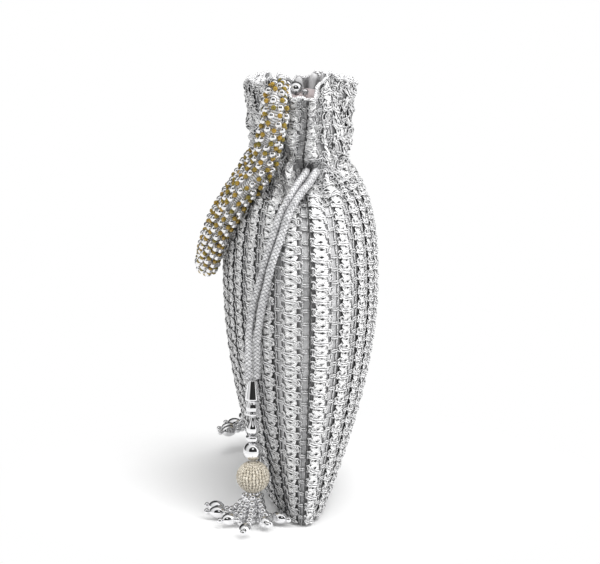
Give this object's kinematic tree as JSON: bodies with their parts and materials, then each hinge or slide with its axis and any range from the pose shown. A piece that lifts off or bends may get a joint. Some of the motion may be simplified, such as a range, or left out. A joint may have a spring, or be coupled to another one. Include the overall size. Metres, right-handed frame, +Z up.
{
  "type": "potli bag",
  "caption": "Gathered drawstring pouch of silver braid lace with a beaded rope handle and tasselled drawstrings.",
  "frame": {"origin": "middle of the bag's flat base, on the surface it stands on", "axes": "+Z up, X along the bag's width, Y through its thickness, front towards -Y"},
  "size_m": [0.2233, 0.0972, 0.2258],
  "materials": {
    "lace": "silver braid lace with ladder stitch over grey satin",
    "lining_satin": "pinkish grey satin",
    "silver_cord": "braided silver cord",
    "handle_beads": "silver and amber beads on twisted strands",
    "silver_beads": "mirror silver plated beads",
    "polished_metal": "polished silver plate",
    "ivory_beads": "ivory cut beads in upright rows"
  },
  "bodies": {
    "root": {"front_panel": "lace", "back_panel": "lace", "lining": "lining_satin", "drawstring_near_channel": "silver_cord", "drawstring_far_channel": "silver_cord", "drawstring_near_a": "silver_cord", "drawstring_near_b": "silver_cord", "drawstring_far_a": "silver_cord", "drawstring_far_b": "silver_cord", "handle_rope": "handle_beads", "handle_near_root_bead": "silver_beads", "handle_near_small_bead": "silver_beads", "handle_far_root_bead": "silver_beads", "handle_far_small_bead": "silver_beads", "near_tassel_cord_cap": "polished_metal", "near_tassel_bell_cap": "silver_beads", "near_tassel_drop_bead": "silver_beads", "near_tassel_spacer_ring": "polished_metal", "near_tassel_round_bead": "silver_beads", "near_tassel_beaded_ball": "ivory_beads", "near_tassel_string_1": "silver_beads", "near_tassel_drop_1": "silver_beads", "near_tassel_string_2": "silver_beads", "near_tassel_drop_2": "silver_beads", "near_tassel_string_3": "silver_beads", "near_tassel_drop_3": "silver_beads", "near_tassel_string_4": "silver_beads", "near_tassel_drop_4": "silver_beads", "near_tassel_string_5": "silver_beads", "near_tassel_drop_5": "silver_beads", "near_tassel_string_6": "silver_beads", "near_tassel_drop_6": "silver_beads", "far_tassel_cord_cap": "polished_metal", "far_tassel_bell_cap": "silver_beads", "far_tassel_drop_bead": "silver_beads", "far_tassel_spacer_ring": "polished_metal", "far_tassel_round_bead": "silver_beads", "far_tassel_beaded_ball": "ivory_beads", "far_tassel_string_1": "silver_beads", "far_tassel_drop_1": "silver_beads", "far_tassel_string_2": "silver_beads", "far_tassel_drop_2": "silver_beads", "far_tassel_string_3": "silver_beads", "far_tassel_drop_3": "silver_beads", "far_tassel_string_4": "silver_beads", "far_tassel_drop_4": "silver_beads", "far_tassel_string_5": "silver_beads", "far_tassel_drop_5": "silver_beads", "far_tassel_string_6": "silver_beads", "far_tassel_drop_6": "silver_beads"}
  },
  "joints": []
}
